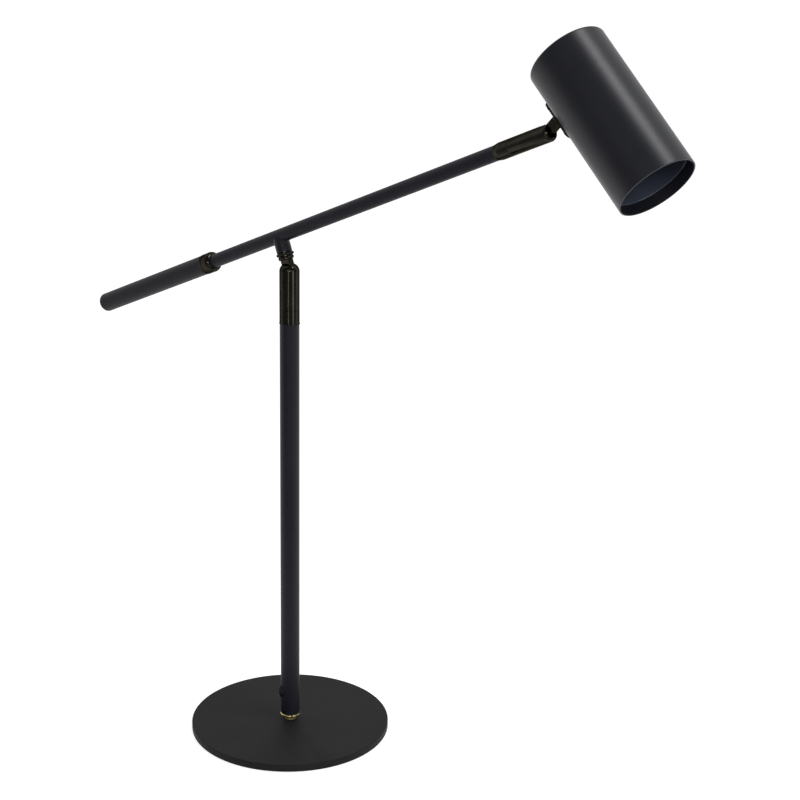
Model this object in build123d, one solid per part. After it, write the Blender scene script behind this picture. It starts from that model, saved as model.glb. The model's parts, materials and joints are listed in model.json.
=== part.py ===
from build123d import *
import os

# Counterweight balance desk lamp: a round steel base, an upright stem, and a
# tilting arm that carries a counterweight at one end and a spot shade at the other.
# Millimetres and degrees. The origin is the centre of the base's underside, +Z is
# up, and the arm lies over the X axis with the shade on the +X side.

# ---- base ----
BASE_DIAMETER = 200.0
PAD_DIAMETER = 188.0
PAD_THICKNESS = 1.0
PLATE_THICKNESS = 7.5
PLATE_EDGE_BREAK = 0.5
POCKET_DIAMETER = 46.0      # room for the nut under the plate, closed by the pad
POCKET_DEPTH = 5.0
CORD_CHANNEL_WIDTH = 8.0    # runs from the pocket to the back edge
CORD_DIRECTION = 138.0      # degrees about Z
CORD_BUSH_LENGTH = 10.0
CORD_HOLE = 4.2
NIPPLE_DIAMETER = 10.0      # M10 x 1 threaded lamp tube
NIPPLE_BORE = 7.5
NIPPLE_BELOW_NUT = 0.8
NIPPLE_INTO_PLUG = 10.5
BASE_NUT_FLATS = 14.0
BASE_NUT_HEIGHT = 3.0
LOCK_WASHER_DIAMETER = 18.0
LOCK_WASHER_THICKNESS = 0.8
SPACER_DIAMETER = 11.6      # slim brass neck between the base and the stem
SPACER_HEIGHT = 3.9
SEAT_DIAMETER = 20.4        # brass ring that the stem stands on
SEAT_HEIGHT = 2.9
SEAT_BEVEL = 1.4

# ---- stem ----
STEM_DIAMETER = 19.0
STEM_WALL = 1.2
STEM_TOP = 426.2
PLUG_LENGTH = 12.0

# ---- switch, on the stem just above the base ----
SWITCH_HEIGHT = 39.3
SWITCH_DIRECTION = -130.0
SWITCH_BODY_WIDTH = 9.6
SWITCH_BODY_HEIGHT = 15.0
SWITCH_BODY_BACK = -6.0     # radial reach from the stem's axis
SWITCH_BODY_FRONT = 5.0
SWITCH_BUSH_DIAMETER = 10.0
BEZEL_DIAMETER = 13.6
BEZEL_REACH = 10.5
BEZEL_BEVEL = 0.9
BUTTON_DIAMETER = 8.0
BUTTON_REACH = 11.3
BUTTON_FOOT = 6.8
BUTTON_EDGE = 0.5
BUTTON_WELL = 5.8           # floor of the button's guide hole

# ---- stem joint: a ring on the stem, and a slotted body that turns on it ----
JOINT_DIAMETER = 19.4
SEAM_HEIGHT = 440.0
STEM_JOINT_TOP = 484.6
DOME_RADIUS = 7.8
SEAM_EDGE_BREAK = 0.25
RING_SPIGOT_LENGTH = 14.0
RING_CAVITY_DIAMETER = 14.6
RING_FLOOR = 7.0
POST_INTO_BODY = 12.0
POST_BELOW_NUT = 0.8
SWIVEL_NUT_FLATS = 12.0
SWIVEL_NUT_HEIGHT = 3.0
SWIVEL_WASHER_DIAMETER = 14.0
SWIVEL_WASHER_THICKNESS = 0.8
RUNNING_CLEARANCE = 0.05
PIVOT_HEIGHT = 478.0
ARM_SLOT_DEPTH = 6.2        # below the pivot
ARM_SLOT_WALL = 6.0         # the slot stops here on the shade's side
ARM_PIN_DIAMETER = 4.0
HINGE_WASHER_THICKNESS = 0.3

# ---- knuckle that tilts in the stem joint, and the branch to the arm ----
ARM_TONGUE_THICKNESS = 6.5
ARM_TONGUE_WIDTH = 11.0
COLLAR_BOTTOM = 10.4        # distances up the branch from the pivot
COLLAR_TOP = 17.7
COLLAR_BORE = 10.0
COLLAR_WAIST_DIAMETER = 14.2
BEAD_RADIUS = 1.45
LOWER_BEAD = (12.0, 6.15)   # height and radius of each bead's centre
UPPER_BEAD = (15.5, 7.15)
KNUCKLE_SPIGOT_DIAMETER = 8.0
KNUCKLE_SPIGOT_LENGTH = 8.8
BRANCH_DIAMETER = 15.0
BRANCH_TOP = 31.5           # its wall laps the arm's sides up to here
WIRE_HOLE = 5.0
ARM_REST_ANGLE = 22.8       # the arm's slope, shade end up
ARM_OFFSET = 33.4           # pivot to the arm's centre line

# ---- arm; distances along it are from the branch, + towards the shade ----
ARM_DIAMETER = 13.4
ARM_WALL = 1.0
WEIGHT_DIAMETER = 19.4
WEIGHT_END = -303.0
WEIGHT_FRONT = -120.4
WEIGHT_EDGE = 1.5
ARM_INTO_WEIGHT = 45.0
WEIGHT_COLLAR_DIAMETER = 20.3
WEIGHT_COLLAR_LENGTH = 14.9
WEIGHT_COLLAR_ROUND = 4.2
WEIGHT_COLLAR_GROOVE = 3.4
GROOVE_WIDTH = 0.9
GROOVE_DEPTH = 0.6
GRUB_SCREW_DIAMETER = 5.0
GRUB_SCREW_POSITION = -150.0
GRUB_HEX_FLATS = 2.5
GRUB_HEX_DEPTH = 1.2
GRUB_SCREW_SUNK = 0.6

# ---- head joint ----
HEAD_DIAMETER = 15.2
HEAD_RING_START = 294.0
HEAD_RING_LIP = 7.0         # radius where the ring meets the arm tube
HEAD_RING_BEVEL = 4.5
HEAD_SOCKET_LENGTH = 7.0
HEAD_RING_CAVITY = 12.4
HEAD_SEAM = 311.0
HEAD_FLOOR = 5.0
HEAD_POST_DIAMETER = 8.0
HEAD_POST_BORE = 5.0
HEAD_POST_INTO_BODY = 10.0
HEAD_NUT_FLATS = 10.0
HEAD_NUT_HEIGHT = 2.6
HEAD_WASHER_DIAMETER = 11.8
HEAD_WASHER_THICKNESS = 0.6
HEAD_PIVOT = 350.0
HEAD_END = 356.2
HEAD_DOME_RADIUS = 4.0
HEAD_SLOT_DEPTH = 4.9       # behind the pivot
HEAD_SLOT_WALL = 4.8        # the slot stops here on the underside
HEAD_PIN_DIAMETER = 4.0
HEAD_SWIVEL_REST = -2.95    # the head's turn about the arm's axis
HEAD_TILT_REST = 24.9       # the neck's rise above the arm's line

# ---- neck and shade; heights are from the head pivot, along the neck ----
NECK_THICKNESS = 6.0
NECK_WIDTH = 8.6
FLARE_START = 16.3
FLARE_START_DIAMETER = 11.0
FLARE_DIAMETER = 12.0
RIVET_DIAMETER = 5.0
SHADE_AXIS_DISTANCE = 56.8
SHADE_DIAMETER = 67.8
SHADE_LENGTH = 135.4
SHADE_WALL = 1.2
SHADE_BACK_EDGE = 2.0
RIM_EDGE = 0.4
NECK_FROM_RIM = 103.4       # distances into the shade are from its rim
SADDLE_FROM_RIM = 98.9
SADDLE_LENGTH = 37.0
SADDLE_WIDTH = 22.6
SADDLE_THICKNESS = 1.5
SADDLE_CORNER = 4.0
SADDLE_FOOT_DIAMETER = 6.0
SADDLE_SCREW_DIAMETER = 3.0
SADDLE_SCREW_HEAD = 5.0
SADDLE_SCREW_HEAD_HEIGHT = 1.3
SADDLE_SCREW_X = 8.2        # half spacings of the four screws
SADDLE_SCREW_Z = 13.0
SLEEVE_FRONT = 9.6
SLEEVE_LENGTH = 58.0
SLEEVE_WALL = 1.2
BRACKET_WIDTH = 24.0
BRACKET_THICKNESS = 2.0
BRACKET_FRONT = 79.0
BRACKET_SHELF = 115.0
BRACKET_SHELF_REACH = 15.0
HOLDER_DIAMETER = 28.0
HOLDER_HEIGHT = 22.0
HOLDER_PIN_HOLE = 5.4
HOLDER_SCREW_DIAMETER = 3.0
HOLDER_SCREW_HEAD = 5.5
HOLDER_SCREW_HEAD_HEIGHT = 2.0
HOLDER_SCREW_DEPTH = 7.0
HOLDER_SCREW_HALF_SPACING = 9.0
BULB_DIAMETER = 50.0
BULB_FACE = 45.0
BULB_RIM_HEIGHT = 5.0
BULB_BASE_DIAMETER = 24.0
BULB_CONE_HEIGHT = 34.0
BULB_PIN_SPACING = 10.0
BULB_PIN_DIAMETER = 4.8
BULB_PIN_LENGTH = 7.0
LENS_THICKNESS = 2.0
LENS_DIAMETER = 46.0

# ---- worked out ----
PLATE_TOP = PAD_THICKNESS + PLATE_THICKNESS
POCKET_TOP = PAD_THICKNESS + POCKET_DEPTH
SEAT_BOTTOM = PLATE_TOP + SPACER_HEIGHT
STEM_BOTTOM = SEAT_BOTTOM + SEAT_HEIGHT
STEM_BORE = STEM_DIAMETER - 2 * STEM_WALL
STEM_RADIUS = STEM_DIAMETER / 2
ARM_BORE = ARM_DIAMETER - 2 * ARM_WALL
CAVITY_TOP = SEAM_HEIGHT - RING_FLOOR
HEAD_CAVITY_TOP = HEAD_SEAM - HEAD_FLOOR
ARM_SLOT_WIDTH = ARM_TONGUE_THICKNESS + 2 * HINGE_WASHER_THICKNESS
HEAD_SLOT_WIDTH = NECK_THICKNESS + 2 * HINGE_WASHER_THICKNESS
SHADE_RADIUS = SHADE_DIAMETER / 2
SHADE_BORE = SHADE_DIAMETER - 2 * SHADE_WALL
SADDLE_TOP = SHADE_AXIS_DISTANCE - SHADE_RADIUS
SADDLE_BOTTOM = SADDLE_TOP - SADDLE_THICKNESS
HOLDER_FRONT = BRACKET_SHELF - HOLDER_HEIGHT
SHELF_TOP = BRACKET_SHELF + BRACKET_THICKNESS

# ---- frames: X runs along the arm and the head; in the AXIS and SHADE frames Z does ----
ARM_FRAME = Location((0, 0, PIVOT_HEIGHT), (0, -ARM_REST_ANGLE, 0))
HEAD_FRAME = ARM_FRAME * Location((HEAD_PIVOT, 0, ARM_OFFSET), (HEAD_SWIVEL_REST, 0, 0))
NECK_FRAME = HEAD_FRAME * Location((0, 0, 0), (0, 90 - HEAD_TILT_REST, 0))
SHADE_PLACE = Pos(NECK_FROM_RIM, 0, SHADE_AXIS_DISTANCE)
SHADE_FRAME = NECK_FRAME * SHADE_PLACE * Rot(0, -90, 0) * Rot(0, 0, 180)
ARM_AXIS_FRAME = ARM_FRAME * Pos(0, 0, ARM_OFFSET) * Rot(0, 90, 0)
HEAD_AXIS_FRAME = HEAD_FRAME * Pos(-HEAD_PIVOT, 0, 0) * Rot(0, 90, 0)
SWITCH_FRAME = Rot(0, 0, SWITCH_DIRECTION) * Pos(0, 0, SWITCH_HEIGHT) * Rot(0, 90, 0)
CORD_FRAME = Rot(0, 0, CORD_DIRECTION)

BOTTOM = (Align.CENTER, Align.CENTER, Align.MIN)
PARTS = {}


def rod(diameter, bottom, top):
    """Cylinder on the Z axis between two heights."""
    return Pos(0, 0, bottom) * Cylinder(diameter / 2, top - bottom, align=BOTTOM)


def tube(outer, inner, bottom, top):
    """Round tube on the Z axis between two heights."""
    return rod(outer, bottom, top) - rod(inner, bottom, top)


def block(x_size, y_size, bottom, top):
    """Box centred on the Z axis between two heights."""
    return Pos(0, 0, bottom) * Box(x_size, y_size, top - bottom, align=BOTTOM)


def side_slot(width, floor, top, wall, reach):
    """Cutter for a slot across the Z axis, open on the -X side and stopped at a wall on +X."""
    return Pos((wall - reach) / 2, 0, floor) * Box(wall + reach, width, top - floor, align=BOTTOM)


def cross_pin(diameter, length):
    """Cylinder along Y, centred on the origin."""
    return Rot(90, 0, 0) * Cylinder(diameter / 2, length)


def turned(*profile):
    """Solid of revolution about Z from (radius, height) points."""
    outline = Polyline(*[(radius, 0, height) for radius, height in profile], close=True)
    return revolve(make_face(outline), Axis.Z)


def cone(bottom_diameter, top_diameter, bottom, top):
    """Straight cone or flare on the Z axis."""
    return turned((0, bottom), (bottom_diameter / 2, bottom), (top_diameter / 2, top), (0, top))


def at_height(solid, height):
    """Round edges of a solid that lie in one level plane."""
    return solid.edges().filter_by(GeomType.CIRCLE).filter_by_position(Axis.Z, height, height)


def domed(diameter, bottom, top, radius):
    """Cylinder on the Z axis with a rounded top edge."""
    solid = rod(diameter, bottom, top)
    return fillet(at_height(solid, top), radius)


def hex_nut(flats, bore, bottom, top):
    """Hexagon nut on the Z axis with chamfered top and bottom corners."""
    corner = flats / 3 ** 0.5
    prism = Pos(0, 0, bottom) * extrude(RegularPolygon(corner, 6), top - bottom)
    slope = corner - flats / 2
    keep = turned((0, bottom), (flats / 2, bottom), (corner, bottom + slope / 2),
                  (corner, top - slope / 2), (flats / 2, top), (0, top))
    return (prism & keep) - rod(bore, bottom, top)


def keep_part(name, shape, frame=Location()):
    """Place one piece in the lamp's own frame under its node name."""
    PARTS[name] = frame * shape


def make_base():
    pad = rod(PAD_DIAMETER, 0, PAD_THICKNESS)
    plate = rod(BASE_DIAMETER, PAD_THICKNESS, PLATE_TOP)
    plate = chamfer(at_height(plate, PLATE_TOP) + at_height(plate, PAD_THICKNESS), PLATE_EDGE_BREAK)
    plate -= rod(POCKET_DIAMETER, PAD_THICKNESS, POCKET_TOP)
    plate -= rod(NIPPLE_DIAMETER, PAD_THICKNESS, PLATE_TOP)
    channel = block(BASE_DIAMETER, CORD_CHANNEL_WIDTH, PAD_THICKNESS, POCKET_TOP)
    plate -= CORD_FRAME * Pos(BASE_DIAMETER / 2, 0, 0) * channel
    keep_part("base_plate", plate)
    keep_part("base_pad", pad)
    keep_part("cord_bush", make_cord_bush())


def make_cord_bush():
    """Rubber bush that fills the channel's mouth, holed for the supply cord."""
    bush = block(CORD_BUSH_LENGTH, CORD_CHANNEL_WIDTH, PAD_THICKNESS, POCKET_TOP)
    middle = (PAD_THICKNESS + POCKET_TOP) / 2
    hole = Pos(0, 0, middle) * Rot(0, 90, 0) * Cylinder(CORD_HOLE / 2, CORD_BUSH_LENGTH)
    outward = BASE_DIAMETER / 2 - CORD_BUSH_LENGTH / 2 - PLATE_EDGE_BREAK
    return CORD_FRAME * Pos(outward, 0, 0) * (bush - hole)


def make_stem_foot():
    """Threaded tube, nut and washer that clamp the stem to the base, and the brass seat."""
    washer_bottom = POCKET_TOP - LOCK_WASHER_THICKNESS
    nut_bottom = washer_bottom - BASE_NUT_HEIGHT
    plug_top = STEM_BOTTOM + PLUG_LENGTH
    nipple_top = STEM_BOTTOM + NIPPLE_INTO_PLUG
    washer = tube(LOCK_WASHER_DIAMETER, NIPPLE_DIAMETER, washer_bottom, POCKET_TOP)
    nipple = tube(NIPPLE_DIAMETER, NIPPLE_BORE, nut_bottom - NIPPLE_BELOW_NUT, nipple_top)
    keep_part("base_lock_washer", washer)
    keep_part("base_nut", hex_nut(BASE_NUT_FLATS, NIPPLE_DIAMETER, nut_bottom, washer_bottom))
    keep_part("base_nipple", nipple)
    keep_part("brass_spacer", tube(SPACER_DIAMETER, NIPPLE_DIAMETER, PLATE_TOP, SEAT_BOTTOM))
    bevel_foot = SEAT_DIAMETER / 2 - SEAT_BEVEL
    seat = turned((NIPPLE_DIAMETER / 2, SEAT_BOTTOM), (bevel_foot, SEAT_BOTTOM),
                  (SEAT_DIAMETER / 2, SEAT_BOTTOM + SEAT_BEVEL), (SEAT_DIAMETER / 2, STEM_BOTTOM),
                  (NIPPLE_DIAMETER / 2, STEM_BOTTOM))
    keep_part("brass_seat_ring", seat)
    keep_part("stem_plug", tube(STEM_BORE, NIPPLE_DIAMETER, STEM_BOTTOM, plug_top))


def make_stem():
    stem = tube(STEM_DIAMETER, STEM_BORE, STEM_BOTTOM, STEM_TOP)
    stem -= SWITCH_FRAME * rod(SWITCH_BUSH_DIAMETER, 0, STEM_DIAMETER)
    keep_part("stem_tube", stem)


def make_switch():
    """Push switch; its own Z axis points out of the stem."""
    stem_outside = Rot(0, 90, 0) * Cylinder(STEM_RADIUS, STEM_DIAMETER * 2)
    button_hole = rod(BUTTON_DIAMETER + 2 * RUNNING_CLEARANCE, BUTTON_WELL, BEZEL_REACH)
    body = block(SWITCH_BODY_HEIGHT, SWITCH_BODY_WIDTH, SWITCH_BODY_BACK, SWITCH_BODY_FRONT)
    body += rod(SWITCH_BUSH_DIAMETER, SWITCH_BODY_FRONT, BEZEL_REACH)
    bezel = tube(BEZEL_DIAMETER, SWITCH_BUSH_DIAMETER, 0, BEZEL_REACH)
    bezel = chamfer(bezel.edges().group_by(Axis.Z)[-1].sort_by(SortBy.RADIUS)[-1], BEZEL_BEVEL)
    button = rod(BUTTON_DIAMETER, BUTTON_FOOT, BUTTON_REACH)
    button = fillet(at_height(button, BUTTON_REACH), BUTTON_EDGE)
    keep_part("switch_body", body - button_hole, SWITCH_FRAME)
    keep_part("switch_bezel", bezel - stem_outside, SWITCH_FRAME)
    keep_part("switch_button", button, SWITCH_FRAME)


def make_stem_joint_ring():
    """Ring fixed in the stem's top, with a floor for the turning post."""
    ring = tube(JOINT_DIAMETER, RING_CAVITY_DIAMETER, STEM_TOP, SEAM_HEIGHT)
    ring = chamfer(at_height(ring, SEAM_HEIGHT).sort_by(SortBy.RADIUS)[-1], SEAM_EDGE_BREAK)
    ring += tube(STEM_BORE, RING_CAVITY_DIAMETER, STEM_TOP - RING_SPIGOT_LENGTH, STEM_TOP)
    post_hole = NIPPLE_DIAMETER + 2 * RUNNING_CLEARANCE
    ring += tube(RING_CAVITY_DIAMETER, post_hole, CAVITY_TOP, SEAM_HEIGHT)
    keep_part("stem_joint_ring", ring)


def make_stem_joint_body():
    """Slotted body that turns on the ring, and the pin the arm's knuckle tilts on."""
    outside = domed(JOINT_DIAMETER, SEAM_HEIGHT, STEM_JOINT_TOP, DOME_RADIUS)
    slot_bottom = PIVOT_HEIGHT - ARM_SLOT_DEPTH
    pin = Pos(0, 0, PIVOT_HEIGHT) * cross_pin(ARM_PIN_DIAMETER, JOINT_DIAMETER)
    body = chamfer(at_height(outside, SEAM_HEIGHT), SEAM_EDGE_BREAK)
    body -= side_slot(ARM_SLOT_WIDTH, slot_bottom, STEM_JOINT_TOP, ARM_SLOT_WALL, JOINT_DIAMETER)
    body -= rod(NIPPLE_DIAMETER, SEAM_HEIGHT, SEAM_HEIGHT + POST_INTO_BODY)
    body -= rod(NIPPLE_BORE, SEAM_HEIGHT, slot_bottom)
    keep_part("stem_joint_body", body - pin)
    keep_part("arm_hinge_pin", pin & outside)
    washers = hinge_washers(ARM_TONGUE_THICKNESS, ARM_TONGUE_WIDTH, ARM_PIN_DIAMETER)
    keep_part("arm_hinge_washers", washers, Pos(0, 0, PIVOT_HEIGHT))


def make_stem_joint_post():
    """Hollow post, washer and nut that hold the turning body down on the ring."""
    washer_bottom = CAVITY_TOP - SWIVEL_WASHER_THICKNESS
    nut_bottom = washer_bottom - SWIVEL_NUT_HEIGHT
    post_bottom = nut_bottom - POST_BELOW_NUT
    post = tube(NIPPLE_DIAMETER, NIPPLE_BORE, post_bottom, SEAM_HEIGHT + POST_INTO_BODY)
    nut = hex_nut(SWIVEL_NUT_FLATS, NIPPLE_DIAMETER, nut_bottom, washer_bottom)
    washer = tube(SWIVEL_WASHER_DIAMETER, NIPPLE_DIAMETER, washer_bottom, CAVITY_TOP)
    keep_part("stem_swivel_post", post)
    keep_part("stem_swivel_nut", nut)
    keep_part("stem_swivel_washer", washer)


def hinge_washers(tongue_thickness, diameter, bore):
    """Pair of thin friction washers, one on each side of a tongue."""
    offset = (tongue_thickness + HINGE_WASHER_THICKNESS) / 2
    washer = cross_pin(diameter, HINGE_WASHER_THICKNESS) - cross_pin(bore, HINGE_WASHER_THICKNESS)
    return Pos(0, offset, 0) * washer + Pos(0, -offset, 0) * washer


def tongue(width, thickness, top, pin_diameter):
    """Flat tongue with a round end that rises along Z from its pivot."""
    blade = cross_pin(width, thickness) + block(width, thickness, 0, top)
    return blade - cross_pin(pin_diameter + 2 * RUNNING_CLEARANCE, thickness)


def make_arm_knuckle():
    """Tongue with its beaded collar, and the branch tube up to the arm."""
    blade = tongue(ARM_TONGUE_WIDTH, ARM_TONGUE_THICKNESS, COLLAR_BOTTOM, ARM_PIN_DIAMETER)
    root = rod(COLLAR_BORE, COLLAR_BOTTOM, COLLAR_TOP)
    spigot_top = COLLAR_TOP + KNUCKLE_SPIGOT_LENGTH
    spigot = rod(KNUCKLE_SPIGOT_DIAMETER, COLLAR_TOP, spigot_top)
    wire_way = rod(WIRE_HOLE, COLLAR_BOTTOM, spigot_top)
    keep_part("arm_knuckle", blade + root + spigot - wire_way, ARM_FRAME)
    collar = rod(COLLAR_WAIST_DIAMETER, COLLAR_BOTTOM, COLLAR_TOP)
    for height, radius in (LOWER_BEAD, UPPER_BEAD):
        collar += Pos(0, 0, height) * Torus(radius, BEAD_RADIUS)
    keep_part("knuckle_collar", collar - root, ARM_FRAME)
    branch = tube(BRANCH_DIAMETER, KNUCKLE_SPIGOT_DIAMETER, COLLAR_TOP, BRANCH_TOP)
    branch -= Pos(0, 0, ARM_OFFSET) * Rot(0, 90, 0) * Cylinder(ARM_DIAMETER / 2, 2 * ARM_DIAMETER)
    keep_part("branch_tube", branch, ARM_FRAME)


def make_arm():
    """Arm tube; its Z axis is the arm's."""
    arm_start = WEIGHT_FRONT - ARM_INTO_WEIGHT
    arm = tube(ARM_DIAMETER, ARM_BORE, arm_start, HEAD_RING_START + HEAD_SOCKET_LENGTH)
    arm -= Rot(0, 90, 0) * rod(KNUCKLE_SPIGOT_DIAMETER, 0, ARM_DIAMETER)
    keep_part("arm_tube", arm, ARM_AXIS_FRAME)


def make_counterweight():
    """Solid steel weight on the arm's short end, and the grub screw that fixes it."""
    arm_outside = rod(ARM_DIAMETER, WEIGHT_FRONT - ARM_INTO_WEIGHT, WEIGHT_FRONT)
    weight = rod(WEIGHT_DIAMETER, WEIGHT_END, WEIGHT_FRONT)
    weight = fillet(at_height(weight, WEIGHT_END), WEIGHT_EDGE) - arm_outside
    grub_place = Pos(0, 0, GRUB_SCREW_POSITION) * Rot(0, 90, 0)
    grub_hole = grub_place * rod(GRUB_SCREW_DIAMETER, 0, WEIGHT_DIAMETER)
    grub_top = WEIGHT_DIAMETER / 2 - GRUB_SCREW_SUNK
    grub = rod(GRUB_SCREW_DIAMETER, 0, grub_top)
    hexagon = extrude(RegularPolygon(GRUB_HEX_FLATS / 3 ** 0.5, 6), GRUB_HEX_DEPTH)
    grub -= Pos(0, 0, grub_top - GRUB_HEX_DEPTH) * hexagon
    keep_part("counterweight", weight - grub_hole, ARM_AXIS_FRAME)
    keep_part("counterweight_grub_screw", grub_place * grub - arm_outside, ARM_AXIS_FRAME)


def make_counterweight_collar():
    """Rounded end collar with one groove."""
    collar_top = WEIGHT_FRONT + WEIGHT_COLLAR_LENGTH
    collar = domed(WEIGHT_COLLAR_DIAMETER, WEIGHT_FRONT, collar_top, WEIGHT_COLLAR_ROUND)
    collar -= rod(ARM_DIAMETER, WEIGHT_FRONT, collar_top)
    groove_bottom = WEIGHT_FRONT + WEIGHT_COLLAR_GROOVE
    groove_floor = WEIGHT_COLLAR_DIAMETER - 2 * GROOVE_DEPTH
    groove = tube(2 * WEIGHT_COLLAR_DIAMETER, groove_floor, groove_bottom, groove_bottom + GROOVE_WIDTH)
    keep_part("counterweight_collar", collar - groove, ARM_AXIS_FRAME)


def make_head_joint_ring():
    """Ring fixed on the arm's end, the same kind of swivel as the stem's."""
    outer = HEAD_DIAMETER / 2
    socket_top = HEAD_RING_START + HEAD_SOCKET_LENGTH
    ring = turned((0, HEAD_RING_START), (HEAD_RING_LIP, HEAD_RING_START),
                  (outer, HEAD_RING_START + HEAD_RING_BEVEL), (outer, HEAD_SEAM), (0, HEAD_SEAM))
    ring = chamfer(at_height(ring, HEAD_SEAM), SEAM_EDGE_BREAK)
    ring -= rod(ARM_DIAMETER, HEAD_RING_START, socket_top)
    ring -= rod(HEAD_RING_CAVITY, socket_top, HEAD_CAVITY_TOP)
    ring -= rod(HEAD_POST_DIAMETER + 2 * RUNNING_CLEARANCE, HEAD_CAVITY_TOP, HEAD_SEAM)
    keep_part("head_joint_ring", ring, ARM_AXIS_FRAME)


def make_head_joint_body():
    """Slotted body that turns about the arm, and the pin the neck tilts on."""
    outside = domed(HEAD_DIAMETER, HEAD_SEAM, HEAD_END, HEAD_DOME_RADIUS)
    slot_bottom = HEAD_PIVOT - HEAD_SLOT_DEPTH
    pin = Pos(0, 0, HEAD_PIVOT) * cross_pin(HEAD_PIN_DIAMETER, HEAD_DIAMETER)
    body = chamfer(at_height(outside, HEAD_SEAM), SEAM_EDGE_BREAK)
    body -= side_slot(HEAD_SLOT_WIDTH, slot_bottom, HEAD_END, HEAD_SLOT_WALL, HEAD_DIAMETER)
    body -= rod(HEAD_POST_DIAMETER, HEAD_SEAM, HEAD_SEAM + HEAD_POST_INTO_BODY)
    body -= rod(HEAD_POST_BORE, HEAD_SEAM, slot_bottom)
    keep_part("head_joint_body", body - pin, HEAD_AXIS_FRAME)
    keep_part("head_hinge_pin", pin & outside, HEAD_AXIS_FRAME)
    washers = hinge_washers(NECK_THICKNESS, NECK_WIDTH, HEAD_PIN_DIAMETER)
    keep_part("head_hinge_washers", washers, HEAD_FRAME)


def make_head_joint_post():
    """Hollow post, washer and nut that hold the head on the arm's ring."""
    washer_bottom = HEAD_CAVITY_TOP - HEAD_WASHER_THICKNESS
    nut_bottom = washer_bottom - HEAD_NUT_HEIGHT
    post_top = HEAD_SEAM + HEAD_POST_INTO_BODY
    post = tube(HEAD_POST_DIAMETER, HEAD_POST_BORE, nut_bottom, post_top)
    nut = hex_nut(HEAD_NUT_FLATS, HEAD_POST_DIAMETER, nut_bottom, washer_bottom)
    washer = tube(HEAD_WASHER_DIAMETER, HEAD_POST_DIAMETER, washer_bottom, HEAD_CAVITY_TOP)
    keep_part("head_swivel_post", post, HEAD_AXIS_FRAME)
    keep_part("head_swivel_nut", nut, HEAD_AXIS_FRAME)
    keep_part("head_swivel_washer", washer, HEAD_AXIS_FRAME)


def make_neck():
    """Tongue that tilts in the head joint and flares to the saddle plate."""
    blade = tongue(NECK_WIDTH, NECK_THICKNESS, FLARE_START, HEAD_PIN_DIAMETER)
    flare = cone(FLARE_START_DIAMETER, FLARE_DIAMETER, FLARE_START, SADDLE_BOTTOM)
    rivet = rod(RIVET_DIAMETER, SADDLE_BOTTOM, SADDLE_TOP)
    keep_part("head_knuckle", blade + flare + rivet, NECK_FRAME)


def screw_spots():
    """Places of the four saddle screws, each with its Z axis out of the shade."""
    return [Pos(0, side * SADDLE_SCREW_X, SADDLE_FROM_RIM + end * SADDLE_SCREW_Z) * Rot(0, 90, 0)
            for side in (-1, 1) for end in (-1, 1)]


def screw_holes():
    """Cutters for the four saddle screws."""
    return [spot * rod(SADDLE_SCREW_DIAMETER, 0, SHADE_DIAMETER) for spot in screw_spots()]


def make_saddle():
    """Flat plate with four feet on the shade's wall, and its screws."""
    outline = RectangleRounded(SADDLE_LENGTH, SADDLE_WIDTH, SADDLE_CORNER)
    plate_top = SHADE_RADIUS + SADDLE_THICKNESS
    plate = Pos(SHADE_RADIUS, 0, SADDLE_FROM_RIM) * Rot(0, 90, 0) * extrude(outline, SADDLE_THICKNESS)
    wall = rod(SHADE_DIAMETER, 0, SHADE_LENGTH)
    screw_end = SHADE_BORE / 2 - 2 * BRACKET_THICKNESS
    foot = rod(SADDLE_FOOT_DIAMETER, screw_end, SHADE_RADIUS)
    screw = rod(SADDLE_SCREW_DIAMETER, screw_end, plate_top)
    screw += rod(SADDLE_SCREW_HEAD, plate_top, plate_top + SADDLE_SCREW_HEAD_HEIGHT)
    for spot in screw_spots():
        plate += spot * foot - wall
    plate -= screw_holes()
    plate -= Pos(0, 0, NECK_FROM_RIM) * Rot(0, 90, 0) * rod(RIVET_DIAMETER, 0, SHADE_DIAMETER)
    keep_part("saddle_plate", plate, SHADE_FRAME)
    keep_part("saddle_screws", Part() + [spot * screw for spot in screw_spots()], SHADE_FRAME)


def make_shade():
    """Round metal can, open at the rim, closed at the back."""
    shade = rod(SHADE_DIAMETER, 0, SHADE_LENGTH)
    shade = fillet(at_height(shade, SHADE_LENGTH), SHADE_BACK_EDGE)
    shade -= rod(SHADE_BORE, 0, SHADE_LENGTH - SHADE_WALL)
    shade = chamfer(at_height(shade, 0).sort_by(SortBy.RADIUS)[0], RIM_EDGE)
    keep_part("shade", shade - screw_holes(), SHADE_FRAME)
    sleeve_bore = SHADE_BORE - 2 * SLEEVE_WALL
    sleeve = tube(SHADE_BORE, sleeve_bore, SLEEVE_FRONT, SLEEVE_FRONT + SLEEVE_LENGTH)
    keep_part("inner_sleeve", sleeve, SHADE_FRAME)


def make_holder_bracket():
    """Bracket on the shade's wall with a shelf that the lamp holder hangs from."""
    band = tube(SHADE_BORE, SHADE_BORE - 2 * BRACKET_THICKNESS, BRACKET_FRONT, BRACKET_SHELF)
    band &= Pos(SHADE_RADIUS, 0, 0) * block(SHADE_DIAMETER, BRACKET_WIDTH, BRACKET_FRONT, BRACKET_SHELF)
    shelf_length = SHADE_RADIUS + BRACKET_SHELF_REACH
    shelf = block(shelf_length, BRACKET_WIDTH, BRACKET_SHELF, SHELF_TOP)
    shelf = Pos(SHADE_RADIUS - shelf_length / 2, 0, 0) * shelf & rod(SHADE_BORE, BRACKET_SHELF, SHELF_TOP)
    bracket = band + shelf - screw_holes()
    for spot in holder_screw_spots():
        bracket -= spot * rod(HOLDER_SCREW_DIAMETER, BRACKET_SHELF, SHELF_TOP)
    keep_part("holder_bracket", bracket, SHADE_FRAME)


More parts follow.
